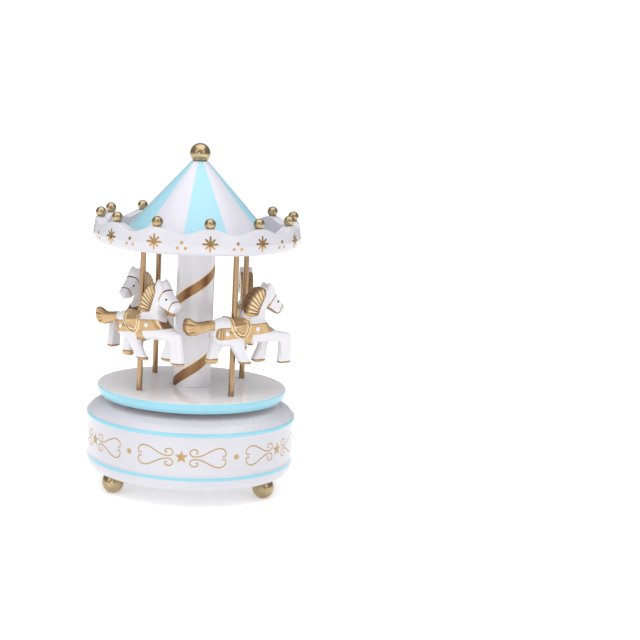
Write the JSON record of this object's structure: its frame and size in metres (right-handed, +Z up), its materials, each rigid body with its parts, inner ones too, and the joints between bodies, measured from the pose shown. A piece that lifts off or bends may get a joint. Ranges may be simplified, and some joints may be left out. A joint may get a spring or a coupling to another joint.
{
  "type": "carousel music box",
  "caption": "Wind-up music box with a round base and a horse carousel under a scalloped, striped canopy that turns as it plays.",
  "frame": {"origin": "on the carousel's turning axis, at the height of the surface that the three feet stand on", "axes": "+Z up the turning axis to the ball on top; -Y is the front, with a foot to its left and right and one at the back; +X is to the right of the front"},
  "size_m": [0.1068, 0.1073, 0.175],
  "materials": {
    "white_plastic": "glossy white with painted aqua lines and gold ornaments",
    "horse_plastic": "satin white moulding with gold-painted mane, tail and harness",
    "striped_canopy": "satin plastic with aqua and white stripes",
    "ball_gold": "antique champagne-gold lacquer",
    "pole_gold": "brown-gold lacquered rod",
    "screw_steel": "zinc-plated",
    "spring_steel": "polished",
    "zinc_casting": "cast zinc alloy",
    "brass": "machined",
    "base_board": "matt white",
    "nylon": "natural nylon"
  },
  "bodies": {
    "base": {"base_shell": "white_plastic", "base_ring": "white_plastic", "bottom_plate": "base_board", "foot_1": "ball_gold", "foot_2": "ball_gold", "foot_3": "ball_gold", "foot_screw_1": "screw_steel", "foot_screw_2": "screw_steel", "foot_screw_3": "screw_steel", "bottom_plate_screw_1": "screw_steel", "bottom_plate_screw_2": "screw_steel", "bottom_plate_screw_3": "screw_steel", "shaft_bushing": "nylon", "movement_bedplate": "zinc_casting", "movement_screw_1": "screw_steel", "movement_screw_2": "screw_steel", "movement_screw_3": "screw_steel", "spring_barrel": "brass", "mainspring": "spring_steel", "drum_bracket": "brass", "comb": "spring_steel", "comb_block": "zinc_casting", "comb_screw_1": "screw_steel", "comb_screw_2": "screw_steel", "governor_frame": "brass"},
    "carousel": {"winding_arbor": "spring_steel", "hub_nut": "brass", "crown_wheel": "brass", "platform": "white_plastic", "column": "white_plastic", "pole_1": "pole_gold", "pole_2": "pole_gold", "pole_3": "pole_gold", "pole_4": "pole_gold", "horse_1": "horse_plastic", "horse_2": "horse_plastic", "horse_3": "horse_plastic", "horse_4": "horse_plastic", "canopy_ceiling": "white_plastic", "canopy_rim": "white_plastic", "canopy_cone": "striped_canopy", "rim_ball_1": "ball_gold", "rim_ball_2": "ball_gold", "rim_ball_3": "ball_gold", "rim_ball_4": "ball_gold", "rim_ball_5": "ball_gold", "rim_ball_6": "ball_gold", "rim_ball_7": "ball_gold", "rim_ball_8": "ball_gold", "rim_ball_9": "ball_gold", "rim_ball_10": "ball_gold", "rim_ball_11": "ball_gold", "rim_ball_12": "ball_gold", "top_finial": "ball_gold"},
    "drum": {"pin_drum": "brass", "drum_pinion": "brass", "drum_gear": "brass"},
    "governor_wheel": {"governor_wheel": "nylon"},
    "fly": {"worm_shaft": "spring_steel", "fly_vane": "spring_steel"}
  },
  "joints": [
    {"name": "carousel_spin", "type": "hinge", "parent": "base", "child": "carousel", "pos_m": [0, 0, 0.047], "axis": [0, 0, 1], "continuous": true},
    {"name": "drum_spin", "type": "hinge", "parent": "base", "child": "drum", "pos_m": [0.0266, 0, 0.0279], "axis": [1, 0, 0], "continuous": true},
    {"name": "governor_spin", "type": "hinge", "parent": "base", "child": "governor_wheel", "pos_m": [0.0389, 0.0084, 0.0279], "axis": [1, 0, 0], "continuous": true},
    {"name": "fly_spin", "type": "hinge", "parent": "base", "child": "fly", "pos_m": [0.0389, 0.01337, 0.0279], "axis": [0, 0, 1], "continuous": true}
  ],
  "couplings": [
    {"joint": "drum_spin", "follows": "carousel_spin", "ratio": 3.1429},
    {"joint": "governor_spin", "follows": "carousel_spin", "ratio": -9.4286},
    {"joint": "fly_spin", "follows": "carousel_spin", "ratio": 169.71}
  ]
}
